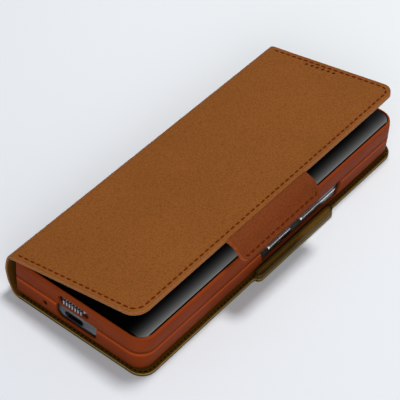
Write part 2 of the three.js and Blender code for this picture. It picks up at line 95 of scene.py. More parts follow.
def speckle(tree, scale, stretch=(1, 1, 1), detail=4.0):
    """A noise in the piece's own frame, scale grains to the metre."""
    place = tree.nodes.new("ShaderNodeTexCoord")
    turn = tree.nodes.new("ShaderNodeMapping")
    turn.inputs["Scale"].default_value = stretch
    noise = tree.nodes.new("ShaderNodeTexNoise")
    noise.inputs["Scale"].default_value = scale
    noise.inputs["Detail"].default_value = detail
    tree.links.new(place.outputs["Object"], turn.inputs["Vector"])
    tree.links.new(turn.outputs["Vector"], noise.inputs["Vector"])
    return noise.outputs["Fac"]


def ramp(tree, source, stops):
    """Colours along a value: each stop is a place from 0 to 1 and a colour."""
    band = tree.nodes.new("ShaderNodeValToRGB")
    elements = band.color_ramp.elements
    while len(elements) < len(stops):
        elements.new(0.5)
    for element, (at, colour) in zip(elements, stops):
        element.position = at
        element.color = (*colour, 1)
    tree.links.new(source, band.inputs["Fac"])
    return band.outputs["Color"]


def spread(tree, source, low, high, start=0.0, end=1.0):
    """The value from start to end, mapped to low and high."""
    node = tree.nodes.new("ShaderNodeMapRange")
    node.inputs["From Min"].default_value = start
    node.inputs["From Max"].default_value = end
    node.inputs["To Min"].default_value = low
    node.inputs["To Max"].default_value = high
    tree.links.new(source, node.inputs["Value"])
    return node.outputs["Result"]


def quiet_gloss(shader, level, tone):
    """A weak reflection in the surface's own tone, as dyed and waxed surfaces give."""
    shader.inputs["Specular IOR Level"].default_value = level
    shader.inputs["Specular Tint"].default_value = (*tone, 1)


def relief(tree, shader, height, depth):
    """Bumps as deep as depth, in metres, where the height value goes from 0 to 1."""
    bump = tree.nodes.new("ShaderNodeBump")
    bump.inputs["Strength"].default_value = 1.0
    bump.inputs["Distance"].default_value = depth
    tree.links.new(height, bump.inputs["Height"])
    tree.links.new(bump.outputs["Normal"], shader.inputs["Normal"])


def plain_finish(
    name, dark, light, scale, roughness, metallic=0.0, depth=0.0, stretch=(1, 1, 1), coat=0.0,
):
    """A moulded, milled or painted surface: mottled colour, uneven gloss and a fine relief."""
    material, tree, shader = blank(name, roughness, metallic)
    grain = speckle(tree, scale, stretch)
    mottle = ramp(tree, speckle(tree, scale / 40), [(0.3, dark), (0.7, light)])
    uneven = spread(tree, grain, roughness * 0.8, roughness * 1.25, 0.3, 0.7)
    tree.links.new(mottle, shader.inputs["Base Color"])
    tree.links.new(uneven, shader.inputs["Roughness"])
    if depth:
        relief(tree, shader, grain, depth)
    shader.inputs["Coat Weight"].default_value = coat
    shader.inputs["Coat Roughness"].default_value = 0.06
    return material


def dress(material, *nodes):
    """Gives CAD nodes whose shape is right their finish."""
    for name in nodes:
        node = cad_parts[name]
        node.data.materials.clear()
        node.data.materials.append(material)


anodised = plain_finish(
    "anodised_grey", tint(112, 117, 120), tint(136, 141, 144), 5200, 0.34, 1.0, 0.002 * MM)
dark_block = plain_finish(
    "inner_block", tint(36, 38, 40), tint(50, 52, 54), 4000, 0.55, depth=0.02 * MM)
black_screen = plain_finish("inner_screen", tint(6, 6, 8), tint(12, 12, 15), 40, 0.24)
quiet_gloss(black_screen.node_tree.nodes["Principled BSDF"], 0.2, (1.0, 1.0, 1.0))
back_glass = plain_finish(
    "back_glass", tint(20, 22, 26), tint(32, 34, 40), 9000, 0.34, depth=0.003 * MM, coat=0.3)


def choose(piece):
    """Makes one piece the selected and active one."""
    bpy.ops.object.select_all(action="DESELECT")
    piece.select_set(True)
    bpy.context.view_layer.objects.active = piece


def use(piece, kind, **settings):
    """Adds a modifier and applies it."""
    choose(piece)
    modifier = piece.modifiers.new(kind.lower(), kind)
    for key, value in settings.items():
        setattr(modifier, key, value)
    bpy.ops.object.modifier_apply(modifier=modifier.name)


def settle(piece, name, material, body, replaced=(), slot=None):
    """Names a finished piece, gives it its material, makes it move with its body and hides the CAD
    nodes it replaces.
    """
    choose(piece)
    bpy.ops.object.transform_apply(location=True, rotation=True, scale=True)
    piece.name = name
    piece.data.name = name
    if material is not None:
        piece.data.materials.clear()
        piece.data.materials.append(material)
    if body is not None:
        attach(piece, body)
    if replaced:
        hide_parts(*replaced)
    return piece


def bevel_all(piece, width, angle, segments=2):
    """Rounds every edge sharper than an angle."""
    use(piece, "BEVEL", width=width, segments=segments, limit_method="ANGLE",
        angle_limit=math.radians(angle))


def smooth(piece, angle):
    """Smooth faces, with the edges sharper than an angle left sharp."""
    choose(piece)
    bpy.ops.object.shade_smooth_by_angle(angle=math.radians(angle))


def round_edges(piece, test, reach, segments):
    """Rounds only the edges whose two ends, in millimetres, pass the test."""
    choose(piece)
    bpy.ops.object.mode_set(mode="EDIT")
    bpy.ops.mesh.select_mode(type="EDGE")
    bpy.ops.mesh.select_all(action="DESELECT")
    bpy.ops.object.mode_set(mode="OBJECT")
    for edge in piece.data.edges:
        edge.select = test(*(piece.data.vertices[v].co / MM for v in edge.vertices))
    bpy.ops.object.mode_set(mode="EDIT")
    bpy.ops.mesh.bevel(offset=reach * MM, segments=segments)
    bpy.ops.object.mode_set(mode="OBJECT")


WELD = 0.002 * MM  # corners closer than this are one
FLAT = math.radians(1.5)  # faces within this angle are one


def eased(node, name, material, body, slot, width, segments=2, rolled=None):
    """The CAD piece with its edges broken by a small round, and rolled edges by a wide one."""
    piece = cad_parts[node].copy()
    piece.data = piece.data.copy()
    piece.parent = None
    for key in list(piece.keys()):
        del piece[key]
    bpy.context.scene.collection.objects.link(piece)
    choose(piece)
    bpy.ops.mesh.customdata_custom_splitnormals_clear()
    bpy.ops.object.mode_set(mode="EDIT")
    bpy.ops.mesh.select_all(action="SELECT")
    bpy.ops.mesh.remove_doubles(threshold=WELD)
    bpy.ops.mesh.dissolve_limited(angle_limit=FLAT)
    bpy.ops.object.mode_set(mode="OBJECT")
    if rolled:
        inside, reach = rolled
        round_edges(piece, lambda a, b: inside(a) and inside(b), reach, 4)
    bevel_all(piece, width, 40, segments)
    smooth(piece, 35)
    return settle(piece, name, material, body, (node,), slot)


eased("phone_rear_frame", "rear_ring", anodised, "base", "silver_frame", 0.25 * MM, 3)
dress(dark_block, "phone_rear_body", "phone_front_body")
dress(black_screen, "phone_rear_screen", "phone_front_screen", "phone_screen_bend")
eased("phone_back_glass", "rear_glass", back_glass, "base", "black_glass", 0.12 * MM)

# ---- Cameras and lamp ----
# A raised island of glass in a metal rim, with three round lenses sunk in it and a small lamp.
# The lenses are coated glass over black barrels.

island_finish = plain_finish(
    "island_metal", tint(58, 60, 64), tint(74, 76, 80), 9000, 0.3, 1.0, 0.003 * MM)
eased("phone_camera_island", "camera_island", island_finish, "base", "inner_block", 0.15 * MM, 2)


def lens_glass():
    """Coated glass over a black barrel, with a faint violet cast."""
    material, tree, shader = blank("lens_glass", 0.05)
    wide = speckle(tree, 260)
    colours = ramp(tree, wide, [(0.35, tint(4, 4, 8)), (0.65, tint(14, 12, 34))])
    tree.links.new(colours, shader.inputs["Base Color"])
    shader.inputs["Coat Weight"].default_value = 1.0
    return material


def round_bar(radius, length, centre, turn=(0, 0, 0), sides=32):
    """A round bar, upright unless it is turned, with its sizes in metres."""
    bpy.ops.object.select_all(action="DESELECT")
    bpy.ops.mesh.primitive_cylinder_add(
        vertices=sides, radius=radius, depth=length, location=centre, rotation=turn)
    return bpy.context.object


lens_finish = lens_glass()
LENS_RIM, LENS_BARREL, LENS_STEP = 0.7 * MM, 1.3 * MM, 0.25 * MM
for number in (1, 2, 3):
    low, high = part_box(f"phone_camera_lens_{number}")
    barrel = round_bar((high.x - low.x) / 2, high.z - low.z, (low + high) / 2, sides=64)
    bpy.ops.object.mode_set(mode="EDIT")
    bpy.ops.mesh.select_all(action="DESELECT")
    bpy.ops.object.mode_set(mode="OBJECT")
    for face in barrel.data.polygons:
        face.select = face.normal.z < -0.9
    bpy.ops.object.mode_set(mode="EDIT")
    bpy.ops.mesh.select_mode(type="FACE")
    for ledge in (LENS_RIM, LENS_BARREL):
        bpy.ops.mesh.inset(thickness=ledge)
        bpy.ops.transform.translate(value=(0, 0, LENS_STEP))
    bpy.ops.object.mode_set(mode="OBJECT")
    bevel_all(barrel, 0.08 * MM, 30)
    smooth(barrel, 35)
    settle(barrel, f"camera_lens_{number}", lens_finish, "base",
           (f"phone_camera_lens_{number}",), "black_glass")

lamp_lens = plain_finish(
    "lamp_lens", tint(226, 220, 196), tint(242, 238, 220), 2500, 0.2, depth=0.02 * MM, coat=0.5)
dress(lamp_lens, "phone_flash")

# ---- Charging port and grille ----
# A pressed steel cup with a plastic tongue, and a steel strip with seven punched slots over the
# loudspeaker. Both sit flush in the aluminium rings.

steel = plain_finish(
    "brushed_steel", tint(150, 152, 156), tint(176, 178, 182), 5000, 0.36, 1.0, 0.004 * MM,
    (1, 1, 12))
tongue = plain_finish(
    "port_tongue", tint(14, 14, 15), tint(22, 22, 24), 3000, 0.5, depth=0.01 * MM)
port_steel = plain_finish(
    "port_steel", tint(44, 46, 48), tint(60, 62, 64), 5000, 0.4, 1.0, 0.003 * MM)
eased("phone_port_cup", "port_cup", port_steel, "base", "steel", 0.06 * MM, 2)
dress(tongue, "phone_port_tongue")


def punch_out(piece, cutter):
    """Cuts one block out of a piece and takes the block away."""
    use(piece, "BOOLEAN", object=cutter, operation="DIFFERENCE", solver="EXACT")
    bpy.data.objects.remove(cutter)


def block_between(low, high):
    """A block from one corner to the other."""
    bpy.ops.object.select_all(action="DESELECT")
    bpy.ops.mesh.primitive_cube_add(size=1, location=(low + high) / 2)
    made = bpy.context.object
    made.scale = high - low
    bpy.ops.object.transform_apply(location=True, rotation=True, scale=True)
    return made


GRILLE_PROUD, GRILLE_ROUND = 0.9, 1.05  # how far it reaches into the shell's slot, and its edges
SLOT_COUNT, SLOT_PITCH, SLOT_WIDTH, SLOT_MARGIN = 7, 1.42, 0.72, 0.2
GAUZE_THICK = 0.12

low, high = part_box("phone_speaker_grille")
low.y -= GRILLE_PROUD * MM
grille = block_between(low, high)
# Every edge is rounded, by more than half the strip's depth, so its faces cross and its front
# stands further out than the strip.
round_edges(grille, lambda a, b: True, GRILLE_ROUND, 8)
for k in range(SLOT_COUNT):
    x = (low.x + high.x) / 2 + (k - (SLOT_COUNT - 1) / 2) * SLOT_PITCH * MM
    reach = Vector((SLOT_WIDTH / 2 * MM, 0, 0))
    front = Vector((x, low.y - 1 * MM, low.z + SLOT_MARGIN * MM))
    back = Vector((x, high.y - GAUZE_THICK * MM, high.z - SLOT_MARGIN * MM))
    punch_out(grille, block_between(front - reach, back + reach))
bevel_all(grille, 0.05 * MM, 40)
settle(grille, "speaker_grille", steel, "front_half", ("phone_speaker_grille",), "steel")
# Near-black: the gauze behind the grille's slots, and painted shade in the shell's microphone hole.
black_mesh_and_hole_shade = plain_finish(
    "grille_gauze_and_hole_shade", tint(5, 5, 5), tint(11, 11, 11), 9000, 0.8, depth=0.02 * MM)
quiet_gloss(black_mesh_and_hole_shade.node_tree.nodes["Principled BSDF"], 0.05, (1.0, 1.0, 1.0))
grille.data.materials.append(black_mesh_and_hole_shade)
for polygon in grille.data.polygons:
    if polygon.normal.y < -0.7 and high.y - 0.2 * MM < polygon.center.y < high.y - 0.05 * MM:
        polygon.material_index = 1

# ---- Side keys ----
# Two milled aluminium bars, each in a slot with an even gap. The power key is wide and bright,
# the volume key long and thin.

bright = plain_finish(
    "key_metal", tint(220, 222, 226), tint(240, 241, 243), 2500, 0.2, 1.0, 0.0006 * MM, (1, 0.1, 1))
eased("phone_power_key", "power_key", bright, "power_key", "silver_frame", 0.35 * MM, 3)
eased("phone_volume_key", "volume_key", bright, "volume_key", "silver_frame", 0.3 * MM, 3)

# ---- Phone, front half ----
# A second aluminium ring, closed by the cover glass: black glass with a painted reflection that
# glows soft grey along the clasp side, and a thin black line of painted shade along that edge.

eased("phone_front_frame", "front_ring", anodised, "front_half", "silver_frame", 0.25 * MM, 3)


def own_axis(tree, axis):
    """How far along X, Y or Z of the piece's own frame a point is."""
    place = tree.nodes.new("ShaderNodeTexCoord")
    split = tree.nodes.new("ShaderNodeSeparateXYZ")
    tree.links.new(place.outputs["Object"], split.inputs["Vector"])
    return split.outputs[axis]


def multiplied(tree, colour, shade):
    """A colour made darker or lighter by a shade."""
    mix = tree.nodes.new("ShaderNodeMix")
    mix.data_type = "RGBA"
    mix.blend_type = "MULTIPLY"
    mix.inputs["Factor"].default_value = 1.0
    tree.links.new(colour, mix.inputs["A"])
    tree.links.new(shade, mix.inputs["B"])
    return mix.outputs["Result"]


PAINTED_REFLECTION_BAND = (22.4, 31.2)  # X of the grey glow
# Painted reflection across the glass, rising to grey towards the clasp side; from 0.95 on it is
# black, painted shade for the thin dark line at the glass's rounded edge.
PAINTED_REFLECTION_STOPS = [
    (0.0, 0.0005), (0.18, 0.002), (0.3, 0.005), (0.41, 0.0115), (0.52, 0.023), (0.64, 0.045),
    (0.75, 0.077), (0.94, 0.138), (0.95, 0.0005),
]
SCREEN_END = (79.2, 80.2)  # Y over which the painted reflection gives way to black at both ends


def cover_glass_painted_reflection():
    """Black glass with a painted, glowing grey reflection along the clasp side, a thin black line of
    painted shade at that edge, and black at both ends.
    """
    material, tree, shader = blank("cover_glass_painted_reflection", 0.07)
    across = spread(tree, own_axis(tree, "X"), 0, 1, *(v * MM for v in PAINTED_REFLECTION_BAND))
    painted_reflection = ramp(tree, across, [(at, (level, level * 1.01, level)) for at, level in PAINTED_REFLECTION_STOPS])
    length = tree.nodes.new("ShaderNodeMath")
    length.operation = "ABSOLUTE"
    tree.links.new(own_axis(tree, "Y"), length.inputs[0])
    ends = spread(tree, length.outputs["Value"], 0, 1, *(v * MM for v in SCREEN_END))
    border = ramp(tree, ends, [(0.4, (1, 1, 1)), (0.6, (0, 0, 0))])
    reflection_with_black_ends = multiplied(tree, painted_reflection, border)
    tree.links.new(reflection_with_black_ends, shader.inputs["Base Color"])
    # Painted reflection: the grey gradient is both the base colour and a glow, through the emission.
    tree.links.new(reflection_with_black_ends, shader.inputs["Emission Color"])
    shader.inputs["Emission Strength"].default_value = 0.55
    smear = spread(tree, speckle(tree, 90), 0.1, 0.2, 0.3, 0.7)
    tree.links.new(smear, shader.inputs["Roughness"])
    quiet_gloss(shader, 0.12, (1.0, 1.0, 1.0))
    return material


eased("phone_cover_glass", "cover_glass", cover_glass_painted_reflection(), "front_half", "black_glass", 0.1 * MM)

# ---- Phone hinge ----
# A polished aluminium back that covers the hinge.

hinge_metal = plain_finish(
    "hinge_metal", tint(176, 178, 184), tint(204, 206, 210), 6000, 0.2, 1.0, 0.002 * MM, (1, 0.1, 1))
eased("phone_hinge_cover", "hinge_back", hinge_metal, "phone_hinge", "silver_frame", 0.2 * MM, 2)

# ---- Shells ----
# Two polycarbonate frames that clip over the phone's halves. They are injection moulded, with a
# satin outer face, rounded rims, and cut-outs for the keys, port, microphone and speaker.


SHELL_TOP = 20  # the height at which the painted highlights and shade below end
# Painted highlights and painted shade by height: lighter on the rear shell's top edge and the front
# shell's top rim, darker in the parting groove and low on the sides.
PAINTED_LIGHT_BY_HEIGHT = [
    (0.0, 0.96), (0.3, 0.9), (0.47, 1.0), (0.5, 1.35), (0.525, 1.95), (0.542, 2.1), (0.549, 0.8),
    (0.575, 0.42), (0.6, 0.5), (0.63, 0.92), (0.68, 1.0), (0.93, 1.06), (0.955, 1.3), (0.975, 1.4),
]


def shell_plastic():
    """Satin plastic, with painted highlights on the rims and painted shade in the groove between the
    halves and low on the sides.
    """
    material, tree, shader = blank("rust_plastic", 0.48)
    fine = speckle(tree, 5200)
    colours = ramp(tree, speckle(tree, 45), [(0.3, tint(116, 46, 16)), (0.7, tint(124, 51, 19))])
    height = spread(tree, own_axis(tree, "Z"), 0, 1, 0, SHELL_TOP * MM)
    # Painted highlights and shade by height, multiplied into the plastic's colour.
    painted_light = ramp(tree, height, [(at, (level, level, level)) for at, level in PAINTED_LIGHT_BY_HEIGHT])
    tree.links.new(multiplied(tree, colours, painted_light), shader.inputs["Base Color"])
    tree.links.new(spread(tree, fine, 0.42, 0.56, 0.3, 0.7), shader.inputs["Roughness"])
    relief(tree, shader, fine, 0.012 * MM)
    quiet_gloss(shader, 0.04, (1.0, 0.5, 0.3))
    return material


rust = shell_plastic()
SHELL_RIGHT, SHELL_HALF, SHELL_ROUND = 32.6, 81.8, 7.2
REAR_TOP, FRONT_BOTTOM = 10.9, 11.5  # the heights on both sides of the parting groove
REAR_ROLL, FRONT_ROLL = 0.55, 0.7
SAME_HEIGHT, NEAR_OUTLINE = 0.02, 0.25


def outer_rim(level):
    """Whether a point is on the outer outline of a shell at one height."""
    def test(point):
        x, y = point.x - SHELL_RIGHT + SHELL_ROUND, abs(point.y) - SHELL_HALF + SHELL_ROUND
        short = SHELL_ROUND - (math.hypot(x, y) if x > 0 and y > 0 else max(x, y))
        return abs(point.z - level) < SAME_HEIGHT and short < NEAR_OUTLINE
    return test


rear = eased("rear_shell", "shell_rear", rust, "base", "rust_shell", 0.12 * MM,
             rolled=(outer_rim(REAR_TOP), REAR_ROLL))
eased("front_shell", "shell_front", rust, "front_half", "rust_shell", 0.12 * MM,
      rolled=(outer_rim(FRONT_BOTTOM), FRONT_ROLL))
MICROPHONE = Vector((-15.8, -81.0, 7.0)) * MM
MICROPHONE_RADIUS, HOLE_SHADE_RADIUS = 1.15, 1.1
ALONG_Y = (math.pi / 2, 0, 0)
punch_out(rear, round_bar(MICROPHONE_RADIUS * MM, 3 * MM, MICROPHONE, ALONG_Y))
# A black disc set in the shell's microphone hole: painted shade standing for the dark inside of the
# hole.
hole_shade_disc = round_bar(HOLE_SHADE_RADIUS * MM, 0.5 * MM, MICROPHONE, ALONG_Y)
bevel_all(hole_shade_disc, 0.08 * MM, 40)
settle(hole_shade_disc, "microphone_hole_shade", black_mesh_and_hole_shade, "base", (), "black_plastic")

# ---- Cover leather: one hide that runs from the back panel round the spine to the flap ----
# Goatskin-like split leather with a pressed fine pebble, 0.8 mm thick, lined with dark synthetic
# suede. It is cut flat, glued, turned over the spine and sewn round the edges.


def hide(name, dark, light, pebble, roughness, depth, blotch=26):
    """Pressed leather: small rounded cells with creases between, painted highlights on the cell tops
    and painted shade in the creases, and slow random changes of tone.
    """
    material, tree, shader = blank(name, roughness)
    place = tree.nodes.new("ShaderNodeTexCoord")
    wander = tree.nodes.new("ShaderNodeTexNoise")
    wander.inputs["Scale"].default_value = 0.5 / pebble
    wander.inputs["Detail"].default_value = 3.0
    tree.links.new(place.outputs["Object"], wander.inputs["Vector"])
    shift = tree.nodes.new("ShaderNodeVectorMath")
    shift.operation = "MULTIPLY_ADD"
    shift.inputs[1].default_value = (pebble, pebble, pebble)
    tree.links.new(wander.outputs["Color"], shift.inputs[0])
    tree.links.new(place.outputs["Object"], shift.inputs[2])
    cells = tree.nodes.new("ShaderNodeTexVoronoi")
    cells.feature = "SMOOTH_F1"
    cells.inputs["Scale"].default_value = 1 / pebble
    cells.inputs["Smoothness"].default_value = 0.35
    cells.inputs["Randomness"].default_value = 1.0
    tree.links.new(shift.outputs["Vector"], cells.inputs["Vector"])
    shade = ramp(tree, speckle(tree, blotch), [(0.25, dark), (0.75, light)])
    # Painted light on the grain: the cell tops lighter, a painted highlight, and the creases darker,
    # painted shade.
    painted_top_highlight, painted_crease_shade = (0.15, (1.12, 1.12, 1.12)), (0.75, (0.74, 0.72, 0.7))
    crease = ramp(tree, cells.outputs["Distance"], [painted_top_highlight, painted_crease_shade])
    tree.links.new(multiplied(tree, shade, crease), shader.inputs["Base Color"])
    glossy = spread(tree, cells.outputs["Distance"], roughness * 0.85, roughness * 1.25, 0.1, 0.8)
    tree.links.new(glossy, shader.inputs["Roughness"])
    relief(tree, shader, cells.outputs["Distance"], -depth)
    quiet_gloss(shader, 0.14, (1.0, 0.62, 0.36))
    return material


def rim_paint(name, dark, light):
    """The painted cut edge of a leather: streaks that run along the layers."""
    material, tree, shader = blank(name, 0.5)
    streak = speckle(tree, 900, (1, 1, 4))
    tree.links.new(ramp(tree, streak, [(0.3, dark), (0.7, light)]), shader.inputs["Base Color"])
    tree.links.new(spread(tree, streak, 0.4, 0.6, 0.3, 0.7), shader.inputs["Roughness"])
    relief(tree, shader, streak, 0.03 * MM)
    quiet_gloss(shader, 0.15, (1.0, 0.8, 0.6))
    return material


PEBBLE, PEBBLE_DEPTH = 0.55 * MM, 0.07 * MM
tan_hide = hide("tan_hide", tint(129, 75, 29), tint(138, 81, 33), PEBBLE, 0.55, PEBBLE_DEPTH)
tan_rim = rim_paint("tan_rim", tint(134, 80, 36), tint(156, 98, 50))
suede = hide("dark_lining", tint(72, 44, 8), tint(83, 52, 12), 0.3 * MM, 0.8, 0.03 * MM, 60)
olive_rim = rim_paint("olive_rim", tint(122, 108, 50), tint(146, 131, 66))
dark_rim = rim_paint("dark_rim", tint(58, 42, 14), tint(78, 60, 24))

# The outer face of the hide, seen from the charging end: X and Z in millimetres, from the back
# panel round the spine and over the crease to the lifted flap.
FLAP_PIVOT = (-31.8, 21.25)
FLAP_LIFT = math.radians(11.4)
FLAP_WIDTH = 62.9
COVER_HALF = 82.1
COVER_CORNER = 6.5
PANEL_RIGHT = 33.7
LEATHER = 0.75
COVER_TURN = [
    (-24.0, 0.0), (-27.0, 0.0), (-29.3, 0.02), (-31.2, 0.62), (-32.7, 2.2), (-33.95, 4.6),
    (-35.0, 7.6), (-35.65, 11.2), (-35.62, 14.2), (-35.1, 17.0), (-34.55, 18.9), (-33.71, 20.4),
    (-31.9, 21.22), (-29.2, 21.79), (-26.0, 22.43), (-20.0, 23.64),
]
PANEL_CUT, SPINE_CUT, CREASE_CUT = 2, 7, 11  # where one piece of the hide meets the next


CURVE_STEPS = 6  # points from one knot of a curve to the next


def smooth_line(knots, first, last):
    """Points of a smooth curve through the knots, from one knot to another."""
    found = []
    for i in range(first, last):
        a, b, c, d = (Vector(knots[k]) for k in (i - 1, i, i + 1, i + 2))
        bend, twist = 2 * a - 5 * b + 4 * c - d, 3 * b - a - 3 * c + d
        for step in range(CURVE_STEPS):
            t = step / CURVE_STEPS
            curve = 2 * b + (c - a) * t + bend * t * t + twist * t ** 3
            found.append(tuple(curve / 2))
    found.append(tuple(knots[last]))
    return found


def flap_point(along):
    """X and Z of the flap's outer face, at a length from the crease's pivot."""
    return (
        FLAP_PIVOT[0] + along * math.cos(FLAP_LIFT),
        FLAP_PIVOT[1] + along * math.sin(FLAP_LIFT),
    )


class Line:
    """A line in X and Z that can be asked for its place and its inward side at any length."""

    def __init__(self, points):
        self.points = np.array(points, float)
        steps = np.linalg.norm(np.diff(self.points, axis=0), axis=1)
        self.lengths = np.concatenate([[0], np.cumsum(steps)])
        self.total = float(self.lengths[-1])
        runs = np.gradient(self.points, self.lengths, axis=0)
        runs /= np.linalg.norm(runs, axis=1)[:, None]
        self.inward = np.stack([runs[:, 1], -runs[:, 0]], axis=1)

    def at(self, along, depth=0.0):
        """X and Z at a length, moved inwards by depth."""
        place = [np.interp(along, self.lengths, self.points[:, k]) for k in (0, 1)]
        side = [np.interp(along, self.lengths, self.inward[:, k]) for k in (0, 1)]
        size = math.hypot(*side)
        return place[0] + side[0] / size * depth, place[1] + side[1] / size * depth


def end_rows(half, corner, middle=14, round_steps=12):
    """Distances along Y for the rows of a sheet, close together in its round corners."""
    turns = [math.radians(90 * k / round_steps) for k in range(round_steps + 1)]
    arc = [half - corner + corner * math.sin(turn) for turn in turns]
    flat = list(np.linspace(0, half - corner, middle + 1))[1:-1]
    return [-y for y in reversed(flat + arc)] + [0.0] + flat + arc


WAVE_ACROSS, WAVE_ALONG = 23, 19


def ripple(along, y):
    """The slight waves of a hide that is glued to a board, from -1 to 1."""
    return math.sin(y / WAVE_ACROSS) * math.sin(along / WAVE_ALONG)


def sheet(
    line, stations, rows, depth, thick, face, rim,
    corner=0.0, half=COVER_HALF, middle=0.0, wave=0.0,
):
    """A cut hide laid along a line, as thick as it is cut, with the far end's corners rounded."""
    bpy.ops.object.select_all(action="DESELECT")
    across, up = len(stations) - 1, len(rows) - 1
    bpy.ops.mesh.primitive_grid_add(x_subdivisions=across, y_subdivisions=up, size=2)
    piece = bpy.context.object
    last = stations[-1]
    turning = last - 2.2 * corner  # from here the rows bunch up into the round corners
    for vertex in piece.data.vertices:
        along = stations[round((vertex.co.x + 1) / 2 * across)]
        y = rows[round((vertex.co.y + 1) / 2 * up)]
        past = abs(y) - (half - corner)
        if corner and past > 0 and along > turning:
            end = last - corner + math.sqrt(max(corner ** 2 - past ** 2, 0))
            along = turning + (along - turning) * (end - turning) / (last - turning)
        x, z = line.at(along, depth)
        vertex.co = (x * MM, (y + middle) * MM, (z + wave * ripple(along, y)) * MM)
    thicken(piece, thick, face, rim)
    return piece


def thicken(piece, thick, face, rim):
    """The hide's thickness, with the painted cut edge round it."""
    piece.data.materials.append(face)
    piece.data.materials.append(rim)
    use(piece, "SOLIDIFY", thickness=thick * MM, offset=-1, material_offset_rim=1)


def skin(piece, round_edge):
    """The edge rolled by the paint and the press."""
    bevel_all(piece, round_edge * MM, 60)
    smooth(piece, 50)


def steps(first, last, pitch):
    """Even steps from first to last, about a pitch apart."""
    return list(np.linspace(first, last, max(2, round((last - first) / pitch) + 1)))


# ---- Back panel ----
# The stiff lower half of the cover: leather outside, dark lining inside, with a window for the
# cameras and a short tab at the clasp side that holds the steel keeper.

WINDOW_ROOM, WINDOW_CORNER, WINDOW_TALL = 1.5, 7.5, 10
TAB_REACH, TAB_HALF, TAB_MIDDLE, TAB_CORNER, TAB_FOOT = 2.4, 25.0, 9.8, 2.1, 1.2


def window_cutter():
    """A round-cornered block, wider than the camera island all round."""
    island_low, island_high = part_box("phone_camera_island")
    island_low.z, island_high.z = -WINDOW_TALL * MM, WINDOW_TALL * MM
    room = Vector((WINDOW_ROOM, WINDOW_ROOM, 0)) * MM
    block = block_between(island_low - room, island_high + room)
    round_edges(block, lambda a, b: abs(a.z - b.z) > WINDOW_TALL, WINDOW_CORNER, 10)
    return block


def panel_sheet(bottom, top, face, rim):
    """A flat layer with its tab, cut to one outline."""
    outline = []

    def arc(x, y, radius, start):
        for k in range(9):
            turn = math.radians(start + 90 * k / 8)
            outline.append((x + radius * math.cos(turn), y + radius * math.sin(turn)))

    left, right, tab = COVER_TURN[PANEL_CUT][0], PANEL_RIGHT, PANEL_RIGHT + TAB_REACH
    low_tab, high_tab = TAB_MIDDLE - TAB_HALF, TAB_MIDDLE + TAB_HALF
    hollow = 0.35 * TAB_FOOT  # the inner corner at the foot of the tab
    arc(right - COVER_CORNER, -COVER_HALF + COVER_CORNER, COVER_CORNER, 270)
    outline.extend([(right, low_tab - TAB_FOOT), (right + hollow, low_tab - hollow)])
    arc(tab - TAB_CORNER, low_tab + TAB_CORNER, TAB_CORNER, 270)
    arc(tab - TAB_CORNER, high_tab - TAB_CORNER, TAB_CORNER, 0)
    outline.extend([(right + hollow, high_tab + hollow), (right, high_tab + TAB_FOOT)])
    arc(right - COVER_CORNER, COVER_HALF - COVER_CORNER, COVER_CORNER, 0)
    outline.extend([(left, COVER_HALF), (left, -COVER_HALF)])
    bpy.ops.object.select_all(action="DESELECT")
    bpy.ops.mesh.primitive_circle_add(vertices=len(outline), radius=1, fill_type="NGON")
    piece = bpy.context.object
    for vertex, (x, y) in zip(piece.data.vertices, outline):
        vertex.co = (x * MM, y * MM, top * MM)
    bpy.ops.object.mode_set(mode="EDIT")
    bpy.ops.mesh.select_all(action="SELECT")
    bpy.ops.mesh.normals_make_consistent(inside=False)
    bpy.ops.object.mode_set(mode="OBJECT")
    if piece.data.polygons[0].normal.z < 0:
        piece.data.flip_normals()
    thicken(piece, top - bottom, face, rim)
    punch_out(piece, window_cutter())
    skin(piece, 0.12)
    return piece


GLUE, PANEL_TOP, CAP_ROUND = 0.1, 1.5, 2.2
panel = panel_sheet(0.0, LEATHER, tan_hide, dark_rim)
settle(panel, "panel_leather", None, "base", ("back_panel_leather",), "tan_leather")
panel_lining = panel_sheet(LEATHER + GLUE, PANEL_TOP, suede, olive_rim)
settle(panel_lining, "panel_lining", None, "base", ("back_panel_lining",), "dark_lining")
cap = block_between(*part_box("back_tab_cap"))
# Every edge is rounded, by more than half the cap's thickness, so its faces cross.
round_edges(cap, lambda a, b: True, CAP_ROUND, 8)
# A lighter copy of the lining suede for the tab: partly the tab's own lighter tone, partly painted
# light that lifts it out of its shade.
tab_suede_painted_lighter = hide(
    "tab_suede_painted_lighter", tint(108, 74, 24), tint(120, 84, 30), 0.4 * MM, 0.7, 0.04 * MM)
cap.data.materials.append(tab_suede_painted_lighter)
cap.data.materials.append(dark_rim)
for polygon in cap.data.polygons:
    polygon.material_index = int(abs(polygon.normal.z) < 0.5)
skin(cap, 0.12)
settle(cap, "back_tab_facing", None, "base", ("back_tab_cap",), "dark_lining")
keeper_steel = plain_finish(
    "keeper_steel", tint(120, 122, 126), tint(146, 148, 152), 4000, 0.42, 1.0, 0.006 * MM)
dress(keeper_steel, "back_tab_keeper")

# ---- Thread ----
# Waxed polyester, lock-stitched: each visible stitch is a short plump bar that dips into the
# leather at both ends.


def thread_finish(name, dark, light):
    """Twisted waxed thread."""
    material, tree, shader = blank(name, 0.6)
    twist = speckle(tree, 4200, (1, 1, 1), 2.0)
    tree.links.new(ramp(tree, twist, [(0.3, dark), (0.7, light)]), shader.inputs["Base Color"])
    tree.links.new(spread(tree, twist, 0.5, 0.7, 0.3, 0.7), shader.inputs["Roughness"])
    relief(tree, shader, twist, 0.05 * MM)
    quiet_gloss(shader, 0.05, (1.0, 0.5, 0.3))
    return material


red_thread = thread_finish("red_brown_thread", tint(84, 24, 2), tint(98, 32, 4))
black_thread = thread_finish("black_thread", tint(10, 6, 1), tint(20, 12, 3))


LONG_STITCH = (3.1, 2.45, 0.85)  # pitch, length and width
SHORT_STITCH = (2.0, 1.35, 0.6)
INNER_STITCH = (3.1, 2.15, 0.5)
POCKET_STITCH = (2.8, 1.9, 0.45)
STITCH_PLUMP = 0.62  # its height to its width


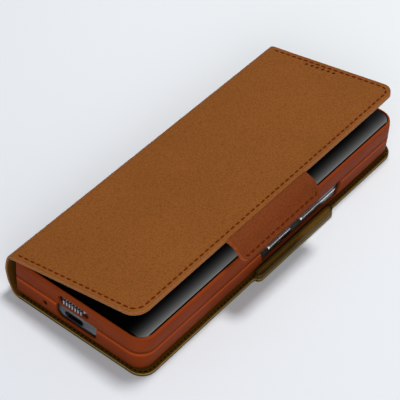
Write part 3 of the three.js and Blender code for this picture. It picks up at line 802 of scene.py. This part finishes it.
def sew(name, route, up_side, stitch_size, thread, body, slot):
    """Stitches at an even pitch along a route in millimetres, on a face that looks to up_side."""
    pitch, length, width = stitch_size
    route = np.array(route, float)
    runs = np.linalg.norm(np.diff(route, axis=0), axis=1)
    lengths = np.concatenate([[0], np.cumsum(runs)])
    count = int(lengths[-1] // pitch)
    start = (lengths[-1] - (count - 1) * pitch) / 2
    bpy.ops.object.select_all(action="DESELECT")
    bpy.ops.mesh.primitive_uv_sphere_add(
        segments=8, ring_count=6, radius=0.5, rotation=(0, math.pi / 2, 0))
    pattern = bpy.context.object
    bpy.ops.object.transform_apply(rotation=True)
    pattern.scale = (length * MM, width * MM, STITCH_PLUMP * width * MM)
    bpy.ops.object.transform_apply(scale=True)
    bpy.ops.object.shade_smooth()
    made = []
    for k in range(count):
        middle = start + k * pitch
        ahead, behind = middle + 0.4 * length, middle - 0.4 * length
        here, a, b = (
            Vector([np.interp(t, lengths, route[:, axis]) for axis in range(3)])
            for t in (middle, behind, ahead)
        )
        forward = (b - a).normalized()
        up = Vector(up_side).normalized()
        side = up.cross(forward).normalized()
        up = forward.cross(side)
        stitch = pattern.copy()
        stitch.data = pattern.data.copy()
        bpy.context.scene.collection.objects.link(stitch)
        turn = Matrix((forward, side, up)).transposed().to_4x4()
        stitch.matrix_world = Matrix.Translation(here * MM) @ turn
        made.append(stitch)
    bpy.ops.object.select_all(action="DESELECT")
    for stitch in made:
        stitch.select_set(True)
    bpy.context.view_layer.objects.active = made[0]
    bpy.ops.object.join()
    seam = bpy.context.object
    bpy.data.objects.remove(pattern)
    return settle(seam, name, thread, body, (), slot)


def three_sides(first, last, half, corner, parts=8):
    """The way of a seam out along one side, round two corners and back: lengths and Y."""
    turns = [math.radians(90 * k / parts) for k in range(parts + 1)]
    near = [(last - corner + corner * math.sin(turn), -half + corner - corner * math.cos(turn))
            for turn in turns]
    far = [(last - corner + corner * math.cos(turn), half - corner + corner * math.sin(turn))
           for turn in turns]
    return [(first, -half)] + near + far + [(first, half)]


PANEL_INSET, PANEL_START = 1.0, -29.0
panel_way = three_sides(
    PANEL_START, PANEL_RIGHT - PANEL_INSET, COVER_HALF - PANEL_INSET, COVER_CORNER - PANEL_INSET)
sew("panel_thread", [(x, y, PANEL_TOP) for x, y in panel_way], (0, 0, 1), SHORT_STITCH,
    black_thread, "base", "dark_lining")
sew("panel_thread_under", [(x, y, 0.1) for x, y in panel_way], (0, 0, -1), SHORT_STITCH,
    red_thread, "base", "tan_leather")

# ---- Spine ----
# The same hide, bowed round the phone's hinge side, lined inside, in a lower and an upper part.

spine_rows = steps(-COVER_HALF, COVER_HALF, 6)
lower_line = Line(smooth_line(COVER_TURN, PANEL_CUT, SPINE_CUT))
upper_line = Line(smooth_line(COVER_TURN, SPINE_CUT, CREASE_CUT))


LOW_TURN = (Vector((-30.7, 0, 0.3)) * MM, Vector((-32.7, 0, 2.1)) * MM)
TOP_TURN = (Vector((-35.0, 0, 17.2)) * MM, Vector((-34.1, 0, 19.8)) * MM)
for part, depth, thick, face, rim, slot in (
    ("leather", 0.0, LEATHER, tan_hide, tan_rim, "tan_leather"),
    ("lining", LEATHER + GLUE, 0.6, suede, dark_rim, "dark_lining"),
):
    for end, line, bodies, turn in (
        ("lower", lower_line, ("base", "spine"), LOW_TURN),
        ("upper", upper_line, ("spine", "front_crease"), TOP_TURN),
    ):
        piece = sheet(line, steps(0, line.total, 0.55), spine_rows, depth, thick, face, rim)
        skin(piece, 0.12)
        settle(piece, f"spine_{end}_{part}", None, None, (f"spine_{part}",), slot)
        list(bodies)
        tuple(turn[0])
        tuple(turn[1])
        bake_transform(piece)

# ---- Flap ----
# The lifted front cover: tan hide over a thin board, lined, with six sound holes at the far end.
# Its edge is rolled and sewn all round in dark red thread.

flap_turn = smooth_line(COVER_TURN, CREASE_CUT, 13)
flap_line = Line(flap_turn + [flap_point(s) for s in np.linspace(5.5, FLAP_WIDTH, 30)])
flap_end = flap_line.total
flap_steps = steps(0, 7, 0.5) + steps(10, flap_end - 15, 4) + steps(flap_end - 14, flap_end, 1.4)
flap_rows = end_rows(COVER_HALF, COVER_CORNER)
BOARDED = 0.95  # leather with the board glued under it
FLAP_LINING, THIN_GLUE = 0.55, 0.06


FLAP_WAVE = 0.12
HOLE_COUNT, HOLE_FIRST, HOLE_PITCH, HOLE_SIZE, HOLE_INSET = 6, 19.8, 2.8, 0.72, 3.9
ACROSS_FLAP = (0, -FLAP_LIFT, 0)


def sound_holes(piece):
    """Round holes punched through, in a row near the far end."""
    for k in range(HOLE_COUNT):
        x, z = flap_point(HOLE_FIRST + HOLE_PITCH * k)
        centre = (x * MM, (COVER_HALF - HOLE_INSET) * MM, z * MM)
        punch_out(piece, round_bar(HOLE_SIZE * MM, 6 * MM, centre, ACROSS_FLAP, 20))


def flap_sheet(depth, thick, face):
    """One layer of the flap, over its whole width and length."""
    piece = sheet(flap_line, flap_steps, flap_rows, depth, thick, face, tan_rim,
                  COVER_CORNER, wave=FLAP_WAVE)
    sound_holes(piece)
    return piece


flap_leather = flap_sheet(0.0, BOARDED, tan_hide)
skin(flap_leather, 0.3)
settle(flap_leather, "flap_hide", None, None,
       ("flap_leather", "flap_board", "front_crease_leather"), "tan_leather")
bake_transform(flap_leather)
flap_lining = flap_sheet(BOARDED + THIN_GLUE, FLAP_LINING, suede)
skin(flap_lining, 0.14)
settle(flap_lining, "flap_inside", None, None, ("flap_lining",), "dark_lining")
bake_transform(flap_lining)

FLAP_UP = Vector((-math.sin(FLAP_LIFT), 0, math.cos(FLAP_LIFT)))
FLAP_START, PIVOT_LENGTH = 1.0, 1.9  # where the seam starts, and how far on the line the pivot is
FLAP_SIDE_INSET, FLAP_END_INSET = 2.1, 1.9


def flap_route(depth=0.0):
    """Round the three free sides of the flap, at a depth below its outer face."""
    found = []
    for along, y in three_sides(
        FLAP_START, FLAP_WIDTH - FLAP_END_INSET, COVER_HALF - FLAP_SIDE_INSET,
        COVER_CORNER - FLAP_END_INSET,
    ):
        x, z = flap_point(along)
        z += FLAP_WAVE * ripple(along + PIVOT_LENGTH, y)
        found.append((x - FLAP_UP[0] * depth, y, z - FLAP_UP[2] * depth))
    return found


def dense(route, step=1.5):
    """More points on a route, so that it follows the surface's slight waves."""
    found = []
    for a, b in zip(route, route[1:]):
        a, b = np.array(a), np.array(b)
        parts = max(1, int(np.linalg.norm(b - a) // step))
        found += [tuple(a + (b - a) * k / parts) for k in range(parts)]
    return found + [route[-1]]


sew("flap_thread", dense(flap_route()), FLAP_UP, LONG_STITCH, red_thread, "flap", "tan_leather")
sew("flap_thread_inside", dense(flap_route(BOARDED + FLAP_LINING + 0.1)), -FLAP_UP, INNER_STITCH,
    black_thread, "flap", "dark_lining")

# ---- Card pocket ----
# One layer of lining leather sewn on three sides to the flap's inner face, open at the crease
# side with a thumb notch.

POCKET_FIRST, POCKET_LAST, POCKET_HALF, POCKET_CORNER = 13.0, 56.9, 47.0, 3.0
POCKET_DEPTH, POCKET_THICK, POCKET_INSET = BOARDED + FLAP_LINING + 0.14, 0.5, 1.6
THUMB_RADIUS, THUMB_BACK = 9, 4
straight = Line([flap_point(s) for s in np.linspace(0, FLAP_WIDTH, 40)])
pocket_rows = end_rows(POCKET_HALF, POCKET_CORNER, 8, 4)
pocket = sheet(straight, steps(POCKET_FIRST, POCKET_LAST, 2.5), pocket_rows, POCKET_DEPTH,
               POCKET_THICK, suede, olive_rim, POCKET_CORNER, POCKET_HALF)
x, z = flap_point(POCKET_FIRST - THUMB_BACK)
punch_out(pocket, round_bar(THUMB_RADIUS * MM, 12 * MM, (x * MM, 0, z * MM), ACROSS_FLAP, 48))
skin(pocket, 0.12)
settle(pocket, "card_pocket_leather", None, "flap", ("card_pocket",), "dark_lining")


def pocket_route():
    """Down one side of the pocket, along its closed side and back."""
    half, first, last = POCKET_HALF - POCKET_INSET, POCKET_FIRST + 1, POCKET_LAST - POCKET_INSET
    found = []
    for along, y in ((first, -half), (last, -half), (last, half), (first, half)):
        x, z = straight.at(along, POCKET_DEPTH + POCKET_THICK + 0.02)
        found.append((x, y, z))
    return found


sew("pocket_thread", dense(pocket_route()), -FLAP_UP, POCKET_STITCH, black_thread, "flap",
    "dark_lining")

# ---- Clasp tab ----
# A tongue of darker hide sewn in under the flap's edge, bent down, lined and sewn round its
# border, with two magnets between its layers.

clasp_hide = hide("clasp_hide", tint(108, 50, 20), tint(117, 56, 24), PEBBLE, 0.55, PEBBLE_DEPTH)
clasp_rim = rim_paint("clasp_rim", tint(150, 70, 32), tint(172, 88, 44))
CLASP_HALF, CLASP_MIDDLE, CLASP_CORNER = 24.5, -6.2, 3.4
CLASP_ANGLE = FLAP_LIFT - math.radians(57.4)
CLASP_BEND = (32.88, 31.84)
CLASP_REACH = 8.5


def clasp_line():
    """From under the flap's edge, over the bend and down along the tongue."""
    down = Vector((math.cos(CLASP_ANGLE), math.sin(CLASP_ANGLE)))
    out = Vector((-down.y, down.x))
    end = Vector(CLASP_BEND) + out * 0.9
    root = Vector(straight.at(FLAP_WIDTH - 4.2, BOARDED + THIN_GLUE))
    edge = Vector(straight.at(FLAP_WIDTH, BOARDED + THIN_GLUE))
    run = (edge - root).normalized()
    over = edge + 0.9 * run + Vector((0.15, -0.25))
    knots = [root - run, root, edge - 0.6 * run, over, end + down * 1.6]
    knots += [end + down * CLASP_REACH * t for t in (0.5, 0.75, 1.0)]
    knots.append(knots[-1] + down)
    return Line(smooth_line([tuple(k) for k in knots], 1, len(knots) - 2))


tongue_line = clasp_line()
tongue_end = tongue_line.total
tongue_steps = steps(0, tongue_end - 6.5, 0.7) + steps(tongue_end - 5.8, tongue_end, 0.75)
tongue_rows = end_rows(CLASP_HALF, CLASP_CORNER, 8, 6)


def tongue_sheet(depth, thick, face):
    """One layer of the tongue, from under the flap's edge to its end."""
    return sheet(tongue_line, tongue_steps, tongue_rows, depth, thick, face, clasp_rim,
                 CLASP_CORNER, CLASP_HALF, CLASP_MIDDLE)


clasp = tongue_sheet(0.0, LEATHER, clasp_hide)
skin(clasp, 0.25)
settle(clasp, "clasp_hide_outer", None, None, ("clasp_leather", "clasp_root"), "tab_leather")
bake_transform(clasp)
clasp_back = tongue_sheet(0.8, 0.9, suede)
skin(clasp_back, 0.2)
settle(clasp_back, "clasp_lining_inner", None, None, ("clasp_lining",), "dark_lining")
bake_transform(clasp_back)
magnet_metal = plain_finish(
    "magnet_nickel", tint(150, 150, 152), tint(170, 170, 174), 5000, 0.25, 1.0, 0.002 * MM)
dress(magnet_metal, "clasp_magnet_1", "clasp_magnet_2")


CLASP_INSET, CLASP_START = 1.9, 5.2
CLASP_UP = (-math.sin(CLASP_ANGLE), 0, math.cos(CLASP_ANGLE))


def clasp_route():
    """Down one side of the tongue, along its end and up the other side."""
    found = []
    for along, y in three_sides(
        CLASP_START, tongue_end - CLASP_INSET, CLASP_HALF - CLASP_INSET,
        CLASP_CORNER - CLASP_INSET, 6,
    ):
        x, z = tongue_line.at(along)
        found.append((x, y + CLASP_MIDDLE, z))
    return found


seam = sew("clasp_thread", dense(clasp_route(), 0.7), CLASP_UP, LONG_STITCH, red_thread, None,
           "tab_leather")
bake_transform(seam)

# ---- Table and light ----
# A pale seamless table with a painted falloff of light, lighter at its far end, an overcast room,
# and
# two soft lamps: a small one nearly overhead, and a large weak one low on the clasp side, towards
# the charging end.

bpy.ops.object.select_all(action="DESELECT")
bpy.ops.mesh.primitive_plane_add(size=6, location=(0, 0, -0.1 * MM))
table = bpy.context.object
table.name = "table"
table_paint, table_tree, table_shader = blank("table_paint", 0.7)
# Painted light: the table is lighter towards its far end, a painted falloff of light.
far = spread(table_tree, own_axis(table_tree, "Y"), 0, 1, -0.12, 0.16)
painted_falloff = ramp(table_tree, far, [(0.0, (0.68, 0.7, 0.735)), (1.0, (0.80, 0.82, 0.835))])
table_tree.links.new(painted_falloff, table_shader.inputs["Base Color"])
table.data.materials.append(table_paint)
table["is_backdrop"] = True

room = bpy.data.worlds.new("room")
bpy.context.scene.world = room
room.use_nodes = True
room.node_tree.nodes["Background"].inputs["Color"].default_value = (0.93, 0.96, 1.0, 1)
room.node_tree.nodes["Background"].inputs["Strength"].default_value = 0.27


def lamp_panel(name, place, size, power):
    """A soft lamp that faces the case."""
    light = bpy.data.lights.new(name, "AREA")
    light.shape = "RECTANGLE"
    light.size, light.size_y = size
    light.energy = power
    holder = bpy.data.objects.new(name, light)
    bpy.context.scene.collection.objects.link(holder)
    holder.location = place
    towards = Vector((0, 0, 0.01)) - Vector(place)
    holder.rotation_euler = towards.to_track_quat("-Z", "Y").to_euler()


lamp_panel("key", (-0.05, 0.17, 1.07), (0.24, 0.24), 8.0)
lamp_panel("fill", (0.62, -0.66, 0.5), (0.9, 0.6), 5.4)

# ---- Camera ----
# A long lens, 0.69 m away, looking down at the corner between the charging end and the clasp
# side, and rolled a few degrees.

eye_turn, eye_lift, eye_roll = math.radians(36.42), math.radians(45.06), math.radians(3.45)
target = Vector((-10.20, 5.30, 0.0)) * MM
away = Vector((
    math.sin(eye_turn) * math.cos(eye_lift),
    -math.cos(eye_turn) * math.cos(eye_lift),
    math.sin(eye_lift),
))
right = Vector((math.cos(eye_turn), math.sin(eye_turn), 0))
up = away.cross(right)
side = math.cos(eye_roll) * right + math.sin(eye_roll) * up
top = -math.sin(eye_roll) * right + math.cos(eye_roll) * up
lens = bpy.data.cameras.new("camera")
lens.sensor_width = 36
lens.lens = 152.43
lens.clip_start, lens.clip_end = 0.05, 20
camera = bpy.data.objects.new("camera", lens)
bpy.context.scene.collection.objects.link(camera)
stand = Matrix.Translation(target + away * 692.1 * MM)
camera.matrix_world = stand @ Matrix((side, top, away)).transposed().to_4x4()
bpy.context.scene.camera = camera
bpy.context.scene.view_settings.view_transform = "Standard"

# ---- Sizes ----
# The finished model's box, from every shown piece but the table.

low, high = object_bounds()
